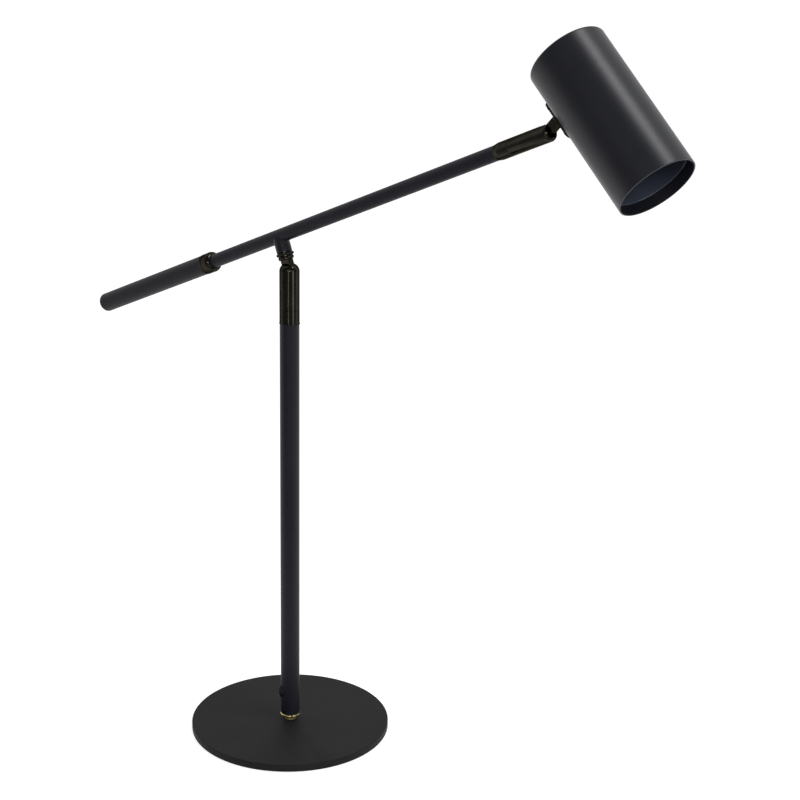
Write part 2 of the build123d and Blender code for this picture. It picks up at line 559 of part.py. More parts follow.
def holder_screw_spots():
    """Places of the two screws behind the lamp holder."""
    return [Pos(0, side * HOLDER_SCREW_HALF_SPACING, 0) for side in (-1, 1)]


def bulb_pin_spots():
    """Places of the bulb's two pins."""
    return [Pos(side * BULB_PIN_SPACING / 2, 0, 0) for side in (-1, 1)]


def make_lamp_holder():
    """Ceramic holder with two pin holes, and the screws through the shelf."""
    holder = rod(HOLDER_DIAMETER, HOLDER_FRONT, BRACKET_SHELF)
    shank = rod(HOLDER_SCREW_DIAMETER, BRACKET_SHELF - HOLDER_SCREW_DEPTH, SHELF_TOP)
    screw = shank + rod(HOLDER_SCREW_HEAD, SHELF_TOP, SHELF_TOP + HOLDER_SCREW_HEAD_HEIGHT)
    pin_hole = rod(HOLDER_PIN_HOLE, HOLDER_FRONT, HOLDER_FRONT + BULB_PIN_LENGTH)
    holder -= [spot * shank for spot in holder_screw_spots()]
    holder -= [spot * pin_hole for spot in bulb_pin_spots()]
    keep_part("lamp_holder", holder, SHADE_FRAME)
    keep_part("holder_screws", Part() + [spot * screw for spot in holder_screw_spots()], SHADE_FRAME)


def make_bulb():
    """Two-pin reflector lamp: a dished body, its front lens and two pins."""
    wide = BULB_DIAMETER / 2
    narrow = BULB_BASE_DIAMETER / 2
    bulb = turned((0, BULB_FACE), (wide, BULB_FACE), (wide, BULB_FACE + BULB_RIM_HEIGHT),
                  (narrow, BULB_FACE + BULB_CONE_HEIGHT), (narrow, HOLDER_FRONT), (0, HOLDER_FRONT))
    lens = rod(LENS_DIAMETER, BULB_FACE, BULB_FACE + LENS_THICKNESS)
    pin = rod(BULB_PIN_DIAMETER, HOLDER_FRONT, HOLDER_FRONT + BULB_PIN_LENGTH)
    bulb = bulb - lens + [spot * pin for spot in bulb_pin_spots()]
    keep_part("bulb", bulb, SHADE_FRAME)
    keep_part("bulb_lens", lens, SHADE_FRAME)


def main():
    make_base()
    make_stem_foot()
    make_stem()
    make_switch()
    make_stem_joint_ring()
    make_stem_joint_body()
    make_stem_joint_post()
    make_arm_knuckle()
    make_arm()
    make_counterweight()
    make_counterweight_collar()
    make_head_joint_ring()
    make_head_joint_body()
    make_head_joint_post()
    make_neck()
    make_saddle()
    make_shade()
    make_holder_bracket()
    make_lamp_holder()
    make_bulb()
    os.makedirs("parts", exist_ok=True)
    for name, shape in PARTS.items():
        export_step(shape, f"parts/{name}.step")


main()
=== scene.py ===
"""Looks for the counterweight balance desk lamp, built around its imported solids."""
import json
import math

import bmesh
import bpy
import numpy as np
from mathutils import Matrix, Vector


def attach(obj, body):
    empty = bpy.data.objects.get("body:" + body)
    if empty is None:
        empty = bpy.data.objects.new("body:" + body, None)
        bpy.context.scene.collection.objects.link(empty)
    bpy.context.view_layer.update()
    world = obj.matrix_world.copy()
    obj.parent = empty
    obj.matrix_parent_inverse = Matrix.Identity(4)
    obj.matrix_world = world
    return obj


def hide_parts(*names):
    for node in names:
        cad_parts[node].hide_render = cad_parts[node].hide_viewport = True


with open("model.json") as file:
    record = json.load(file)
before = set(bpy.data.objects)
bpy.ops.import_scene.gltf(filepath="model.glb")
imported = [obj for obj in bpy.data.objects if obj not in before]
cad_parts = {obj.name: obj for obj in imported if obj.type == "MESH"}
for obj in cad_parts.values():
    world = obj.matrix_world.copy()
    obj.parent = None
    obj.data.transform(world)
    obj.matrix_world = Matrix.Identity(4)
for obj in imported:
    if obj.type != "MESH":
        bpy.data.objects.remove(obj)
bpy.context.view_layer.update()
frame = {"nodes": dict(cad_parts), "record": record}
nodes = frame["nodes"]

# ---- camera: fitted to the base's ellipse, the stem and the arm; places are in metres ----
CAMERA_PLACE = (1.230826, -1.103466, 0.862719)
CAMERA_RIGHT = (0.710563, 0.703440, 0.016500)
CAMERA_DOWN = (0.219675, -0.199500, -0.954957)
CAMERA_FORWARD = (-0.668463, 0.682182, -0.296286)
CAMERA_LENS = 80.27
SENSOR_WIDTH = 36
NEAREST = 0.05
FARTHEST = 50


def make_camera():
    data = bpy.data.cameras.new("camera")
    data.lens = CAMERA_LENS
    data.sensor_width = SENSOR_WIDTH
    data.clip_start = NEAREST
    data.clip_end = FARTHEST
    camera = bpy.data.objects.new("camera", data)
    turn = Matrix((CAMERA_RIGHT, -Vector(CAMERA_DOWN), -Vector(CAMERA_FORWARD))).transposed()
    camera.matrix_world = Matrix.Translation(CAMERA_PLACE) @ turn.to_4x4()
    bpy.context.scene.collection.objects.link(camera)
    bpy.context.scene.camera = camera


make_camera()
bpy.context.scene.view_settings.view_transform = "Standard"

# ---- sizes in millimetres, and angles in degrees ----
METRES = 0.001              # one millimetre, in metres

# base, brass neck and stem: heights are above the table
PLATE_TOP = 8.5
THREAD_RADIUS = 5.0         # the hollow thread that the brass pieces sit on
SPACER_RADIUS = 5.8
SEAT_BOTTOM = 12.4
SEAT_FOOT_RADIUS = 8.8
SEAT_RADIUS = 10.2
SEAT_CONE_TOP = 13.4
SEAT_TOP = 15.3
STEM_RADIUS = 9.5
STEM_WALL = 1.2
STEM_TOP = 426.2
END_BEVEL = 0.15            # the tube's ends are deburred by this much

# switch: distances are from the stem's axis
SWITCH_HEIGHT = 39.3
SWITCH_DIRECTION = -130.0
SWITCH_HOLE_RADIUS = 5.0
BUTTON_RADIUS = 4.0
BUTTON_FOOT = 6.8
BUTTON_TOP = 11.3
DISH_FLOOR = 11.05
DISH_FLOOR_RADIUS = 2.6
DISH_RIM_RADIUS = 3.0

# stem joint
PIVOT_HEIGHT = 478.0
JOINT_RADIUS = 9.7
SEAM_HEIGHT = 440.0
SPIGOT_RADIUS = 8.3
SPIGOT_FOOT = 412.2
CAVITY_RADIUS = 7.3
CAVITY_TOP = 433.0
POST_HOLE_RADIUS = 5.05

# knuckle collar and branch: heights are above the pivot
COLLAR_BOTTOM = 10.4
COLLAR_TOP = 17.7
COLLAR_BORE = 5.0
COLLAR_WAIST = 7.1
COLLAR_BEADS = ((12.0, 6.15), (15.5, 7.15))     # each bead's height, and its centre's radius
COLLAR_BEAD_RADIUS = 1.45
BRANCH_RADIUS = 7.5
BRANCH_BORE = 4.0
BRANCH_TOP = 31.5
WELD_DROP = 2.8             # how far the weld reaches down the branch
WELD_REACH = 3.0            # and along the arm
WELD_ASIDE = 6.5            # half its width across the arm
WELD_PROUD = 0.02           # how far its edges stand off the tubes
WELD_INSET_ALONG = 0.9      # how far inside them its hidden closing line lies
WELD_INSET_ASIDE = 0.7
WELD_SUNK = 0.4

# arm and counterweight: places are along the arm, from above the pivot
ARM_SLOPE = 22.8            # up from level
ARM_OFFSET = 33.4           # from the pivot to the arm's middle line
ARM_RADIUS = 6.7
ARM_WALL = 1.0
ARM_BORE = ARM_RADIUS - ARM_WALL
ARM_START = -165.4
ARM_END = 301.0
WEIGHT_RADIUS = 9.7
WEIGHT_WALL = 1.4
WEIGHT_END = -303.0
WEIGHT_END_ROUND = 1.5
WEIGHT_FRONT = -120.4
WEIGHT_FRONT_RADIUS = 9.4
GRUB_PLACE = -150.0
GRUB_HOLE_RADIUS = 2.5
WEIGHT_COLLAR_RADIUS = 10.15
WEIGHT_COLLAR_LENGTH = 14.9
WEIGHT_COLLAR_ROUND = 4.2
GROOVE_FROM_FRONT = 3.4
GROOVE_WIDTH = 0.9
GROOVE_START = WEIGHT_FRONT + GROOVE_FROM_FRONT
GROOVE_END = GROOVE_START + GROOVE_WIDTH
GROOVE_FLOOR_RADIUS = 9.55

# head joint
HEAD_RADIUS = 7.6
HEAD_RING_START = 294.0
HEAD_RING_LIP = 7.0
HEAD_RING_BEVEL = 4.5       # the taper's length
HEAD_CAVITY_RADIUS = 6.2
HEAD_CAVITY_END = 306.0
HEAD_SEAM = 311.0
HEAD_POST_HOLE = 4.05
HEAD_PIVOT = 350.0
HEAD_ROLL = -2.95           # about the arm
NECK_TURN = 65.1            # out of the arm's line

# shade: distances into it are from its rim
SHADE_RADIUS = 33.9
SHADE_WALL = 1.2
SHADE_BORE = SHADE_RADIUS - SHADE_WALL
SHADE_LENGTH = 135.4
SHADE_INNER_END = SHADE_LENGTH - SHADE_WALL
SHADE_END_ROUND = 2.0
SHADE_AXIS_DISTANCE = 56.8  # from the tilt axis to the shade's own
NECK_FROM_RIM = 103.4
SLEEVE_FRONT = 9.6
SLEEVE_BACK = 67.6
SLEEVE_WALL = 1.2
SLEEVE_BORE = SHADE_BORE - SLEEVE_WALL
SADDLE_FROM_RIM = 98.9
SADDLE_THICKNESS = 1.5
SCREW_ASIDE = 8.2           # half spacings of the four saddle screws
SCREW_ALONG = 13.0
SCREW_TURN = 20             # how far each pair's crosses are turned
SCREW_HEAD_RADIUS = 2.5
SCREW_RIM_HEIGHT = 0.7
SCREW_CROWN_HEIGHT = 0.6
SCREW_CROWN_RADIUS = 2.1    # the cross lies inside it
SCREW_RING_GAP = 0.05       # from its last ring of points to the rim's first
SCREW_SHANK_RADIUS = 1.5
SCREW_END = 28.7            # from the shade's axis
CROSS_LENGTH = 1.5          # from its middle
CROSS_HALF_WIDTH = 0.4
CROSS_DEPTH = 0.75
CROSS_SLOPE = 0.12

# bulb
BULB_FACE = 45.0
BULB_LIP = 50.0
BULB_CONE_END = 79.0
BULB_END = 93.0
BULB_RADIUS = 25.0
BULB_BASE_RADIUS = 12.0
BULB_MOUTH_RADIUS = 23.0
REFLECTOR_RADIUS = 22.3
REFLECTOR_FRONT = 47.4
REFLECTOR_DEPTH = 29.0
REFLECTOR_LIP = 0.1         # the narrow step round the dish
SCALLOPS = 24
SCALLOP_DEPTH = 0.022       # as a share of the radius
LENS_RADIUS = 22.9
LENS_FRONT = 45.2
LENS_BACK = 46.9
CAPSULE_RADIUS = 4.2
CAPSULE_FOOT = 76.6
CAPSULE_SHOULDER = 62.0
CAPSULE_TIP_RADIUS = 1.4
CAPSULE_TIP_START = 59.0
CAPSULE_TIP = 58.6

# how round a turned piece's edges are, where a corner has no size of its own
DEBURRED = 0.12
FINE_EDGE = 0.15
SMALL_EDGE = 0.2
SOFT_EDGE = 0.3

# how fine the surfaces are
AROUND = 168                # steps round a turned piece
AROUND_SHADE = 256
AROUND_PIERCED = 192
AROUND_REFLECTOR = 240
AROUND_SMALL = 96
ARC_STEPS = 7
BEAD_STEPS = 90
WELD_STEPS = 12
SHOULDER_STEPS = 24
CROWN_STEPS = 30
RIM_STEPS = 8
DISH_STEPS = 36
BEVEL_STEPS = 3
GUARD = 1.3                 # an arc's guard points lie this many reaches from its corner
SHARP_ANGLE = 35.0          # edges that turn by more stay sharp, and are the ones bevelled
FLAT_ANGLE = 0.6            # faces that turn by less are joined into one
JOIN_DISTANCE = 0.001       # points of a surface nearer than this are one
SOLID_JOIN_DISTANCE = 0.002     # the same for points of a copied solid
HOLE_MARGIN = 1.5           # a hole's rows of points start this far below it and end as far above
HOLE_STEP = 0.33            # from row to row
HOLE_SLACK = 0.12           # points this far outside the hole still slide onto its edge


def turned_by(angle, axis):
    """Turn by an angle in degrees about an axis."""
    return Matrix.Rotation(math.radians(angle), 4, axis)


def moved_by(x, y, z):
    """Move in millimetres."""
    return Matrix.Translation((x, y, z))


UPRIGHT = Matrix.Identity(4)
ARM = moved_by(0, 0, PIVOT_HEIGHT) @ turned_by(-ARM_SLOPE, "Y")
ARM_AXIS = ARM @ moved_by(0, 0, ARM_OFFSET) @ turned_by(90, "Y")
HEAD = ARM @ moved_by(HEAD_PIVOT, 0, ARM_OFFSET) @ turned_by(HEAD_ROLL, "X")
NECK = HEAD @ turned_by(NECK_TURN, "Y")
SHADE = NECK @ moved_by(NECK_FROM_RIM, 0, SHADE_AXIS_DISTANCE) @ turned_by(-90, "Y") @ turned_by(180, "Z")
SWITCH = turned_by(SWITCH_DIRECTION, "Z") @ moved_by(0, 0, SWITCH_HEIGHT) @ turned_by(90, "Y")


# ---- colours and shader nodes ----
def linear(hex_colour):
    """sRGB hex such as 2b2c30 to linear RGBA, by the sRGB curve."""
    parts = [int(hex_colour[i:i + 2], 16) / 255 for i in (0, 2, 4)]
    return [p / 12.92 if p <= 0.04045 else ((p + 0.055) / 1.055) ** 2.4 for p in parts] + [1.0]


# A noise pattern's values lie mostly between these two.
NOISE_LOW = 0.3
NOISE_HIGH = 0.7


def add(tree, kind, inputs=(), **settings):
    """One shader node: its settings, and each input as a value or as a socket to link from."""
    node = tree.nodes.new(kind)
    for name, value in settings.items():
        setattr(node, name, value)
    for name, value in dict(inputs).items():
        if isinstance(value, bpy.types.NodeSocket):
            tree.links.new(value, node.inputs[name])
        else:
            node.inputs[name].default_value = value
    return node


def spread(tree, pattern, low, high):
    """A pattern's usual range stretched to run from low to high."""
    return add(tree, "ShaderNodeMapRange", {"Value": pattern, "From Min": NOISE_LOW, "From Max": NOISE_HIGH,
                                            "To Min": low, "To Max": high}).outputs["Result"]


def finish_of(name, tone, rough, bump=None, **sockets):
    """A material whose colour, roughness and normal come from patterns in object millimetres.

    tone and rough are (pattern scale per mm, detail, low value, high value); bump is
    (pattern scale per mm, detail, strength, height in mm). Sockets are set as they are."""
    material = bpy.data.materials.new(name)
    material.use_nodes = True
    tree = material.node_tree
    tree.nodes.clear()
    shader = add(tree, "ShaderNodeBsdfPrincipled")
    add(tree, "ShaderNodeOutputMaterial", {"Surface": shader.outputs["BSDF"]})
    place = add(tree, "ShaderNodeTexCoord").outputs["Object"]
    mm = add(tree, "ShaderNodeVectorMath", {0: place, "Scale": 1 / METRES},
             operation="SCALE").outputs["Vector"]
    scale, detail, low, high = tone
    cloud = add(tree, "ShaderNodeTexNoise", {"Vector": mm, "Scale": scale, "Detail": detail})
    tint = add(tree, "ShaderNodeValToRGB", {"Fac": cloud.outputs["Fac"]})
    for stop, position, colour in zip(tint.color_ramp.elements, (NOISE_LOW, NOISE_HIGH), (low, high)):
        stop.position = position
        stop.color = linear(colour)
    scale, detail, low, high = rough
    grain = add(tree, "ShaderNodeTexNoise", {"Vector": mm, "Scale": scale, "Detail": detail})
    tree.links.new(tint.outputs["Color"], shader.inputs["Base Color"])
    tree.links.new(spread(tree, grain.outputs["Fac"], low, high), shader.inputs["Roughness"])
    normal = {}
    for scale, detail, strength, height in bump or ():
        skin = add(tree, "ShaderNodeTexNoise", {"Vector": mm, "Scale": scale, "Detail": detail})
        relief = add(tree, "ShaderNodeBump", {"Height": skin.outputs["Fac"], "Strength": strength,
                                              "Distance": height * METRES, **normal})
        normal = {"Normal": relief.outputs["Normal"]}
    if normal:
        tree.links.new(normal["Normal"], shader.inputs["Normal"])
    for socket, value in sockets.items():
        shader.inputs[socket.replace("_", " ")].default_value = value
    return material


# Lathe marks: how close, how strong and high in millimetres, and how much roughness varies.
MARKS_PER_MM = 3.0
MARK_STRENGTH = 0.12
MARK_HEIGHT = 0.02
MARK_ROUGHNESS = 0.04


def lathe_finish(name, low, high, roughness, axis, **sockets):
    """Metal turned on a lathe: its marks run round the axis, so roughness and height change
    only along it. Real marks are under 0.1 mm; here they are 0.3 mm, coarse enough to show."""
    material = finish_of(name, (0.12, 2.0, low, high), (0.5, 2.0, roughness, roughness), Metallic=1.0,
                         **sockets)
    tree = material.node_tree
    shader = next(n for n in tree.nodes if n.type == "BSDF_PRINCIPLED")
    mm = next(n for n in tree.nodes if n.type == "VECT_MATH").outputs["Vector"]
    along = add(tree, "ShaderNodeVectorMath", {0: mm, 1: axis}, operation="DOT_PRODUCT")
    marks = add(tree, "ShaderNodeTexNoise", {"W": along.outputs["Value"], "Scale": MARKS_PER_MM,
                                             "Detail": 2.0}, noise_dimensions="1D")
    gloss = spread(tree, marks.outputs["Fac"], roughness - MARK_ROUGHNESS, roughness + MARK_ROUGHNESS)
    relief = add(tree, "ShaderNodeBump", {"Height": marks.outputs["Fac"], "Strength": MARK_STRENGTH,
                                          "Distance": MARK_HEIGHT * METRES})
    tree.links.new(gloss, shader.inputs["Roughness"])
    tree.links.new(relief.outputs["Normal"], shader.inputs["Normal"])
    return material


UP = (0.0, 0.0, 1.0)
ALONG_ARM = (math.cos(math.radians(ARM_SLOPE)), 0.0, math.sin(math.radians(ARM_SLOPE)))
# Polyester powder coat, sprayed on steel and baked: a satin skin with orange peel, dimples
# about 1.5 mm apart, and a 0.1 mm grit that is drawn at 0.5 mm so that it shows.
PEEL = ((0.65, 1.0, 0.25, 0.06), (2.0, 2.0, 0.25, 0.03))
coat = finish_of("blue_black_powder_coat", (0.03, 3.0, "14151c", "191a22"), (1.6, 2.0, 0.42, 0.52), PEEL,
                 Specular_IOR_Level=0.22)
# The same powder on the arm and its weight, sprayed lying flat and a little duller for it.
coat_arm = finish_of("duller_blue_black_powder_coat", (0.03, 3.0, "14151d", "191a24"), (1.6, 2.0, 0.46, 0.56),
                     PEEL, Specular_IOR_Level=0.14)
# The same powder on the thick base, coloured greyer than on the tubes: painted light, because its top faces
# the light.
coat_base_painted_lighter = finish_of("black_powder_coat_painted_lighter", (0.02, 3.0, "19191b", "1e1e20"), (1.6, 2.0, 0.56, 0.66), PEEL,
                      Specular_IOR_Level=0.12)
# The shade's thin aluminium carries a smoother coat, so the softbox draws a streak along it.
coat_shade = finish_of("smooth_blue_black_powder_coat", (0.03, 3.0, "13141b", "171820"),
                       (1.6, 2.0, 0.34, 0.42), PEEL, Specular_IOR_Level=0.32)
# Black nickel, plated over turned brass: a dark and slightly soft mirror with a brown cast.
NICKEL_LOW = "2c2a26"
NICKEL_HIGH = "35322d"
NICKEL_GLOSS = 0.16
NICKEL = {"Specular_Tint": linear("aaaaaa")}
nickel_up = lathe_finish("black_nickel_plate_turned_upright", NICKEL_LOW, NICKEL_HIGH, NICKEL_GLOSS,
                         UP, **NICKEL)
nickel_arm = lathe_finish("black_nickel_plate_turned_along_arm", NICKEL_LOW, NICKEL_HIGH, NICKEL_GLOSS,
                          ALONG_ARM, **NICKEL)
# The same plate where it was milled flat: no lathe marks, only faint polishing clouds.
nickel_flat = finish_of("black_nickel_plate_milled", (0.15, 3.0, NICKEL_LOW, NICKEL_HIGH),
                        (0.6, 3.0, 0.14, 0.24), ((1.2, 2.0, 0.1, 0.02),), Metallic=1.0, **NICKEL)
# Brass bar, turned, polished and lacquered: warm yellow, with soft reflections.
brass = lathe_finish("polished_brass_bar", "cbb674", "dac88b", 0.28, UP)
# The slim neck of the same brass, left as the lathe cut it: satin, so it looks evenly lit.
brass_neck = lathe_finish("satin_turned_brass", "d2bd80", "dfce96", 0.5, UP)
# Clear zinc plate on steel: a grey metal, faintly clouded where the bath left it uneven.
zinc = finish_of("clear_zinc_plate", (0.4, 3.0, "a3a6aa", "babcbf"), (1.0, 3.0, 0.26, 0.4),
                 ((2.0, 2.0, 0.15, 0.02),), Metallic=1.0)
# Black anodised aluminium strip rolled into the shade: satin. Its blue-grey colour is painted light, standing
# in for the light and reflections inside the shade.
sleeve_painted_light = finish_of("satin_anodised_sleeve_painted_light", (0.05, 3.0, "4a5060", "585e6f"), (1.5, 2.0, 0.28, 0.36),
                         ((1.5, 2.0, 0.12, 0.02),), Metallic=0.5, Specular_IOR_Level=0.5)
# Closed-cell foam: dull, with cells about 0.6 mm across.
foam = finish_of("closed_cell_foam", (0.5, 3.0, "1a1a1b", "232324"), (1.0, 2.0, 0.85, 0.95),
                 ((1.7, 2.0, 0.7, 0.15),), Specular_IOR_Level=0.3)
# Moulded rubber: matte, with the fine spark-eroded skin of its mould.
rubber = finish_of("moulded_black_rubber", (0.2, 2.0, "151516", "1b1b1c"), (1.5, 2.0, 0.6, 0.7),
                   ((2.5, 2.0, 0.3, 0.03),), Specular_IOR_Level=0.4)
# Moulded nylon: black, a little glossier than rubber, with the same fine mould skin.
nylon = finish_of("moulded_black_nylon", (0.2, 2.0, "121216", "17171b"), (2.0, 2.0, 0.5, 0.6),
                  ((2.5, 2.0, 0.25, 0.02),), Specular_IOR_Level=0.15)
# Steatite, pressed and fired without glaze: off-white with faint grey specks.
steatite = finish_of("unglazed_steatite", (1.3, 3.0, "d9d5cb", "e9e6de"), (1.0, 2.0, 0.5, 0.65),
                     ((1.6, 2.0, 0.3, 0.04),), Specular_IOR_Level=0.5)
# Vacuum-coated glass reflector: a bright mirror with a faint violet cast.
mirror = finish_of("vacuum_coated_reflector", (0.08, 2.0, "c9c9d6", "dcd6dd"), (0.5, 2.0, 0.1, 0.2),
                   ((0.5, 1.0, 0.1, 0.05),), Metallic=1.0)
# Pressed cover glass: clear, with a soft ripple about 3 mm from wave to wave.
cover_glass = finish_of("pressed_cover_glass", (0.1, 2.0, "f0f4f4", "fafcfb"), (0.6, 2.0, 0.02, 0.08),
                        ((0.3, 1.0, 0.35, 0.2),), Transmission_Weight=1.0, IOR=1.5)
# Quartz capsule with an etched skin, pale and slightly see-through.
quartz = finish_of("etched_quartz_capsule", (0.4, 2.0, "dfe0dc", "f1f1ec"), (1.0, 2.0, 0.35, 0.5),
                   ((1.5, 2.0, 0.1, 0.02),), Transmission_Weight=0.35, IOR=1.46)

LOOKS = {
    coat_base_painted_lighter: ("base_plate",),
    coat: ("stem_tube", "branch_tube"),
    coat_arm: ("arm_tube", "counterweight"),
    coat_shade: ("shade",),
    nickel_up: ("stem_joint_ring", "stem_joint_body"),
    nickel_arm: ("counterweight_collar", "head_joint_ring", "head_joint_body"),
    nickel_flat: ("arm_hinge_pin", "arm_knuckle", "knuckle_collar", "head_hinge_pin", "head_knuckle",
                  "saddle_plate", "saddle_screws", "counterweight_grub_screw"),
    brass: ("brass_seat_ring",),
    brass_neck: ("brass_spacer",),
    zinc: ("base_nipple", "base_nut", "base_lock_washer", "stem_plug", "stem_swivel_post",
           "stem_swivel_nut", "stem_swivel_washer", "arm_hinge_washers", "head_swivel_post",
           "head_swivel_nut", "head_swivel_washer", "head_hinge_washers", "holder_bracket",
           "holder_screws"),
    sleeve_painted_light: ("inner_sleeve",),
    foam: ("base_pad",),
    rubber: ("cord_bush",),
    nylon: ("switch_body", "switch_bezel", "switch_button"),
    steatite: ("lamp_holder",),
    mirror: ("bulb",),
    cover_glass: ("bulb_lens",),
}
LOOK_OF = {node: material for material, held in LOOKS.items() for node in held}
BODY_OF = {node: body for body, held in frame["record"]["behaviour"]["bodies"].items() for node in held}
for name, material in LOOK_OF.items():
    nodes[name].data.materials.clear()
    nodes[name].data.materials.append(material)


# ---- making pieces ----
def dress(piece, node, material=None, stands_for=True):
    """Give a piece its node's body, slot and finish, and let it stand for the node."""
    piece.data.materials.clear()
    piece.data.materials.append(material or LOOK_OF[node])
    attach(piece, BODY_OF[node])
    if stands_for:
        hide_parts(node)
    return piece


def skin_object(name, mesh):
    """Join touching points, turn the faces outwards, shade them smooth but for sharp edges."""
    skin = bmesh.new()
    skin.from_mesh(mesh)
    bmesh.ops.remove_doubles(skin, verts=skin.verts, dist=JOIN_DISTANCE * METRES)
    bmesh.ops.recalc_face_normals(skin, faces=skin.faces)
    skin.to_mesh(mesh)
    skin.free()
    mesh.shade_smooth()
    mesh.set_sharp_from_angle(angle=math.radians(SHARP_ANGLE))
    piece = bpy.data.objects.new(name, mesh)
    bpy.context.scene.collection.objects.link(piece)
    return piece


def grid_faces(rows, columns):
    """Quads over a rows by columns grid whose points are numbered row by row."""
    point = np.arange(rows * columns).reshape(rows, columns)
    return np.stack((point[:-1, :-1], point[:-1, 1:], point[1:, 1:], point[1:, :-1]), axis=-1).reshape(-1, 4)


def surface(name, grid, place, kept=None):
    """Piece from a grid of points (rows, columns, 3) in millimetres in one of the lamp's frames."""
    faces = grid_faces(*grid.shape[:2])
    if kept is not None:
        faces = faces[kept]
    used, faces = np.unique(faces, return_inverse=True)
    turn = np.array(place)
    points = (grid.reshape(-1, 3)[used] @ turn[:3, :3].T + turn[:3, 3]) * METRES
    mesh = bpy.data.meshes.new(name)
    mesh.from_pydata(points.tolist(), [], faces.reshape(-1, 4).tolist())
    return skin_object(name, mesh)


def soft_profile(*corners, closed=False):
    """Profile through (radius, height, rounding) corners. An arc of that rounding touches both
    sides of its corner: it starts rounding / tan(half the corner's angle) away, and its centre
    lies rounding / sin(half the angle) away on the bisector. A point just before the arc and
    one just after it keep the shading flat beyond them."""
    spots = np.array([corner[:2] for corner in corners], float)
    line = []
    for index, corner in enumerate(corners):
        here, rounding = spots[index], corner[2] if len(corner) > 2 else 0
        if not rounding or not closed and index in (0, len(corners) - 1):
            line.append(here[None])
            continue
        before, after = spots[index - 1] - here, spots[(index + 1) % len(spots)] - here
        before, after = before / np.linalg.norm(before), after / np.linalg.norm(after)
        half = math.acos(np.clip(before @ after, -1, 1)) / 2
        middle = (before + after) / np.linalg.norm(before + after)
        reach = rounding / math.tan(half)
        centre = here + middle * rounding / math.sin(half)
        first, last = here + before * reach - centre, here + after * reach - centre
        swing = math.pi - 2 * half
        share = np.linspace(0, 1, ARC_STEPS)[:, None]
        turned = np.sin((1 - share) * swing) * first + np.sin(share * swing) * last
        arc = centre + turned / math.sin(swing)
        line += [(here + before * reach * GUARD)[None], arc, (here + after * reach * GUARD)[None]]
    line = np.concatenate(line)
    return np.concatenate((line, line[:1])) if closed else line


def revolved(profile, around=AROUND, ripple=np.ones_like):
    """Surface of revolution: the profile's point (r, z) goes to (r cos a, r sin a, z) for every
    angle a. A ripple is a function of the angle that gives r a factor at each profile point."""
    angle = np.linspace(0, 2 * math.pi, around + 1)[:, None]
    radius = profile[:, 0] * ripple(angle)
    height = np.broadcast_to(profile[:, 1], radius.shape)
    return np.stack((radius * np.cos(angle), radius * np.sin(angle), height), axis=-1)


def round_piece(node, place, *corners, around=AROUND):
    """Turned piece for a node, from the corners of its closed profile."""
    grid = revolved(soft_profile(*corners, closed=True), around)
    return dress(surface(node + "_turned", grid, place), node)


def merged_piece(node, edge):
    """Copy of a node's own solid with its triangles joined, its flats whole and edges rounded."""
    mesh = nodes[node].data.copy()
    skin = bmesh.new()
    skin.from_mesh(mesh)
    bmesh.ops.remove_doubles(skin, verts=skin.verts, dist=SOLID_JOIN_DISTANCE * METRES)
    bmesh.ops.dissolve_limit(skin, angle_limit=math.radians(FLAT_ANGLE), verts=skin.verts, edges=skin.edges)
    skin.to_mesh(mesh)
    skin.free()
    piece = skin_object(node + "_smoothed", mesh)
    soft = piece.modifiers.new("soft_edges", "BEVEL")
    soft.width = edge * METRES
    soft.segments = BEVEL_STEPS
    soft.limit_method = "ANGLE"
    soft.angle_limit = math.radians(SHARP_ANGLE)
    soft.harden_normals = True
    return dress(piece, node)


def pierced_wall(node, place, corners, wall, hole_height, hole_angle, hole_radius):
    """Turned open sheet with one round hole in its side, thickened inwards by its wall.

    The sheet's cells that lie inside the hole go, and each point left inside it slides out
    to the hole's circle along the line from its centre, measured on the unrolled side."""
    profile = soft_profile(*corners)
    reach = hole_radius + HOLE_MARGIN
    near = np.arange(hole_height - reach, hole_height + reach, HOLE_STEP)
    side = np.max(profile[:, 0])
    place_in = np.searchsorted(profile[:, 1], near[0])
    profile = np.concatenate((profile[:place_in], np.stack((np.full_like(near, side), near), axis=-1),
                              profile[place_in:]))
    angle = np.linspace(0, 2 * math.pi, AROUND_PIERCED + 1)[:, None] + np.zeros(len(profile))
    height = profile[:, 1] + np.zeros_like(angle)
    across = side * ((angle - math.radians(hole_angle) + math.pi) % (2 * math.pi) - math.pi)
    rise = height - hole_height
    away = np.hypot(across, rise)
    inside = away < hole_radius + HOLE_SLACK
    pull = np.where(inside, hole_radius / np.maximum(away, 0.01), 1)
    angle = angle + across * (pull - 1) / side
    height = hole_height + rise * pull
    grid = np.stack((profile[:, 0] * np.cos(angle), profile[:, 0] * np.sin(angle), height), axis=-1)
    gone = inside[:-1, :-1] & inside[:-1, 1:] & inside[1:, 1:] & inside[1:, :-1]
    piece = surface(node + "_wall", grid, place, ~gone.reshape(-1))
    thick = piece.modifiers.new("wall", "SOLIDIFY")
    thick.thickness = wall * METRES
    thick.offset = -1
    return dress(piece, node)


